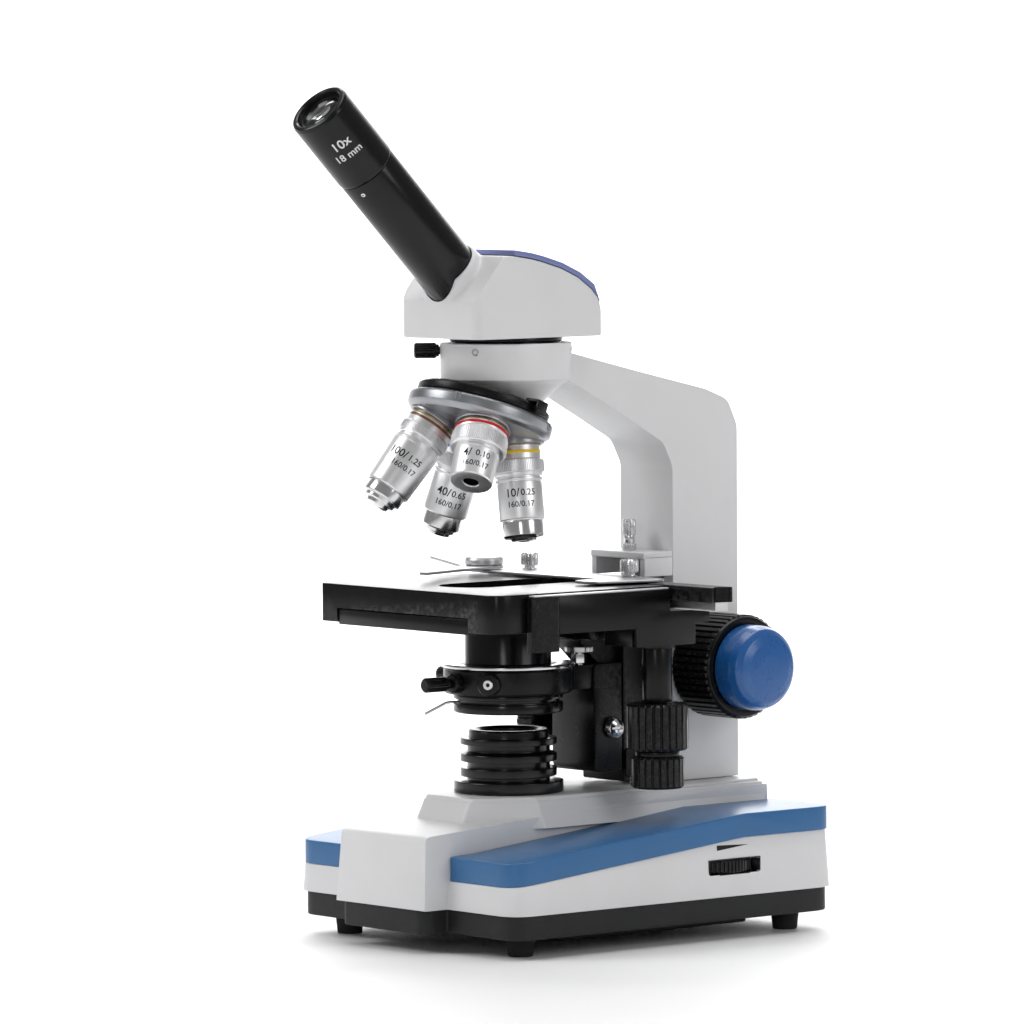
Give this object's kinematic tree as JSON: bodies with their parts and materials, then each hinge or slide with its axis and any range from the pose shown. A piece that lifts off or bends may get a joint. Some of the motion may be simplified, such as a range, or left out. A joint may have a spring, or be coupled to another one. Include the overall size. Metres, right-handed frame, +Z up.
{
  "type": "microscope",
  "caption": "Upright student compound microscope: lit base, curved arm, focusing mechanical stage with condenser, tilted objective turret and one inclined eyepiece tube.",
  "frame": {"origin": "on the table, under the middle of the part's bounding box", "axes": "+Z up; -Y towards the user, where the base has its nose and the eyepiece tube points; +X to the user's right"},
  "size_m": [0.1828, 0.233, 0.3653],
  "materials": {
    "white_paint": "satin",
    "black_paint": "satin",
    "black_plastic": "moulded",
    "white_plastic": "satin",
    "black_anodised": "anodised",
    "blue_plastic": "satin",
    "violet_plastic": "satin",
    "blue_paint": "satin",
    "rubber": "matte",
    "satin_chrome": "satin",
    "bright_chrome": "polished",
    "grey_turret": "satin",
    "steel": "turned",
    "glass": "polished",
    "circuit_board": "solder mask"
  },
  "bodies": {
    "base": {"base_housing": "white_plastic", "base_plate": "black_paint", "foot_front_left": "rubber", "foot_front_right": "rubber", "foot_rear_left": "rubber", "foot_rear_right": "rubber", "wing_pad_left": "blue_plastic", "wing_pad_right": "blue_plastic", "lamp_housing": "black_anodised", "collector_lens": "glass", "led_board": "circuit_board", "power_inlet": "black_plastic", "arm": "white_paint", "stop_bracket": "white_paint", "stop_lock_nut": "bright_chrome", "nosepiece_base": "black_paint", "click_spring": "steel"},
    "brightness_dial": {"brightness_dial": "black_plastic"},
    "stop_screw": {"stop_screw": "bright_chrome"},
    "head_lock_screw": {"head_lock_screw": "black_plastic"},
    "head": {"head_housing": "white_paint", "head_trim": "violet_plastic", "head_dovetail": "steel", "prism": "glass", "eyepiece_tube": "black_anodised"},
    "eyepiece": {"eyepiece": "black_anodised", "eye_lens": "glass"},
    "turret": {"turret": "grey_turret", "objective_4x": "satin_chrome", "objective_10x": "satin_chrome", "objective_40x": "satin_chrome", "objective_100x": "satin_chrome"},
    "objective_40x_front": {"objective_40x_front": "satin_chrome"},
    "objective_100x_front": {"objective_100x_front": "satin_chrome"},
    "coarse_focus": {"coarse_shaft": "steel", "coarse_knob_left": "black_plastic", "coarse_knob_right": "black_plastic"},
    "fine_focus": {"fine_shaft": "steel", "fine_knob_left": "blue_paint", "fine_knob_right": "blue_paint"},
    "stage_lift": {"focus_carriage": "black_paint", "focus_rack": "steel", "lower_stage": "black_anodised"},
    "condenser": {"condenser_carrier": "black_paint", "condenser_body": "black_anodised", "condenser_lens": "glass"},
    "iris_lever": {"iris_lever": "satin_chrome"},
    "condenser_knob": {"condenser_knob": "black_plastic"},
    "condenser_stop_screw": {"condenser_stop_screw": "bright_chrome"},
    "centring_screw_left": {"centring_screw_left": "black_plastic"},
    "centring_screw_front": {"centring_screw_front": "black_plastic"},
    "stage_y": {"upper_stage": "black_anodised", "stage_drive_housing": "black_anodised"},
    "y_knob": {"y_knob": "black_plastic"},
    "x_knob": {"x_knob": "black_plastic"},
    "stage_x": {"x_rail": "black_anodised", "slide_holder": "satin_chrome"},
    "slide_finger": {"slide_finger": "satin_chrome"},
    "holder_screw_left": {"holder_screw_left": "bright_chrome"},
    "holder_screw_right": {"holder_screw_right": "bright_chrome"}
  },
  "joints": [
    {"name": "dimmer_turn", "type": "hinge", "parent": "base", "child": "brightness_dial", "pos_m": [0.06053, 0.05713, 0.0315], "axis": [0, 0, 1], "range_deg": [-135, 135]},
    {"name": "stop_screw_turn", "type": "hinge", "parent": "base", "child": "stop_screw", "pos_m": [0.00343, 0.06232, 0.165], "axis": [0, 0, 1], "range_deg": [-180, 180]},
    {"name": "head_lock_turn", "type": "hinge", "parent": "base", "child": "head_lock_screw", "pos_m": [0.00343, -0.00668, 0.2526], "axis": [-0.638, -0.77, 0], "range_deg": [0, 360]},
    {"name": "head_turn", "type": "hinge", "parent": "base", "child": "head", "pos_m": [0.00343, -0.00668, 0.256], "axis": [0, 0, 1], "continuous": true},
    {"name": "eyepiece_lift", "type": "slide", "parent": "head", "child": "eyepiece", "axis": [0, -0.7071, 0.7071], "range_m": [0, 0.0235]},
    {"name": "turret_turn", "type": "hinge", "parent": "base", "child": "turret", "pos_m": [0.00343, -0.00668, 0.2665], "axis": [0, -0.3338, -0.9426], "continuous": true},
    {"name": "objective_40x_give", "type": "slide", "parent": "turret", "child": "objective_40x_front", "axis": [0.2861, 0.1526, 0.946], "range_m": [0, 0.0018], "stiffness_N_per_m": 300, "springref_m": -0.002},
    {"name": "objective_100x_give", "type": "slide", "parent": "turret", "child": "objective_100x_front", "axis": [0.1719, 0.5844, 0.7931], "range_m": [0, 0.0018], "stiffness_N_per_m": 300, "springref_m": -0.002},
    {"name": "stage_lift_slide", "type": "slide", "parent": "base", "child": "stage_lift", "axis": [0, 0, 1], "range_m": [-0.001, 0.0128]},
    {"name": "coarse_turn", "type": "hinge", "parent": "base", "child": "coarse_focus", "pos_m": [0.00343, 0.09183, 0.1133], "axis": [1, 0, 0], "range_deg": [-111.5, 10.6]},
    {"name": "fine_turn", "type": "hinge", "parent": "base", "child": "fine_focus", "pos_m": [0.00343, 0.09183, 0.1133], "axis": [1, 0, 0], "continuous": true},
    {"name": "condenser_slide", "type": "slide", "parent": "stage_lift", "child": "condenser", "axis": [0, 0, 1], "range_m": [-0.0045, 0.003]},
    {"name": "condenser_knob_turn", "type": "hinge", "parent": "condenser", "child": "condenser_knob", "pos_m": [0.00343, 0.03952, 0.0882], "axis": [1, 0, 0], "range_deg": [-59.3, 87.9]},
    {"name": "iris_turn", "type": "hinge", "parent": "condenser", "child": "iris_lever", "pos_m": [0.00343, -0.00668, 0.1016], "axis": [0, 0, 1], "range_deg": [-45, 30]},
    {"name": "condenser_stop_turn", "type": "hinge", "parent": "condenser", "child": "condenser_stop_screw", "pos_m": [0.01393, 0.02432, 0.12], "axis": [0, 0, 1], "range_deg": [-180, 180]},
    {"name": "centring_left_turn", "type": "hinge", "parent": "condenser", "child": "centring_screw_left", "pos_m": [0.00343, -0.00668, 0.111], "axis": [-1, 0, 0], "range_deg": [-180, 180]},
    {"name": "centring_front_turn", "type": "hinge", "parent": "condenser", "child": "centring_screw_front", "pos_m": [0.00343, -0.00668, 0.111], "axis": [0, -1, 0], "range_deg": [-180, 180]},
    {"name": "stage_y_slide", "type": "slide", "parent": "stage_lift", "child": "stage_y", "axis": [0, 1, 0], "range_m": [-0.02, 0.01]},
    {"name": "y_knob_turn", "type": "hinge", "parent": "stage_y", "child": "y_knob", "pos_m": [0.05493, 0.03333, 0.09], "axis": [0, 0, 1], "range_deg": [-274.8, 138.4]},
    {"name": "stage_x_slide", "type": "slide", "parent": "stage_y", "child": "stage_x", "axis": [1, 0, 0], "range_m": [-0.034, 0.034]},
    {"name": "x_knob_turn", "type": "hinge", "parent": "stage_y", "child": "x_knob", "pos_m": [0.05493, 0.03333, 0.07], "axis": [0, 0, 1], "range_deg": [-673.7, 673.7]},
    {"name": "finger_swing", "type": "hinge", "parent": "stage_x", "child": "slide_finger", "pos_m": [-0.05357, 0.02732, 0.155], "axis": [0, 0, 1], "range_deg": [-25, 0], "stiffness_Nm_per_rad": 0.05, "springref_deg": 11.46},
    {"name": "holder_left_turn", "type": "hinge", "parent": "stage_x", "child": "holder_screw_left", "pos_m": [-0.03757, 0.03993, 0.155], "axis": [0, 0, 1], "range_deg": [0, 360]},
    {"name": "holder_right_turn", "type": "hinge", "parent": "stage_x", "child": "holder_screw_right", "pos_m": [0.02943, 0.03993, 0.155], "axis": [0, 0, 1], "range_deg": [0, 360]}
  ],
  "couplings": [
    {"joint": "coarse_turn", "follows": "stage_lift_slide", "rad_per_m": -149.25},
    {"joint": "condenser_knob_turn", "follows": "condenser_slide", "rad_per_m": -333.33},
    {"joint": "y_knob_turn", "follows": "stage_y_slide", "rad_per_m": 238.1},
    {"joint": "x_knob_turn", "follows": "stage_x_slide", "rad_per_m": -344.83}
  ]
}
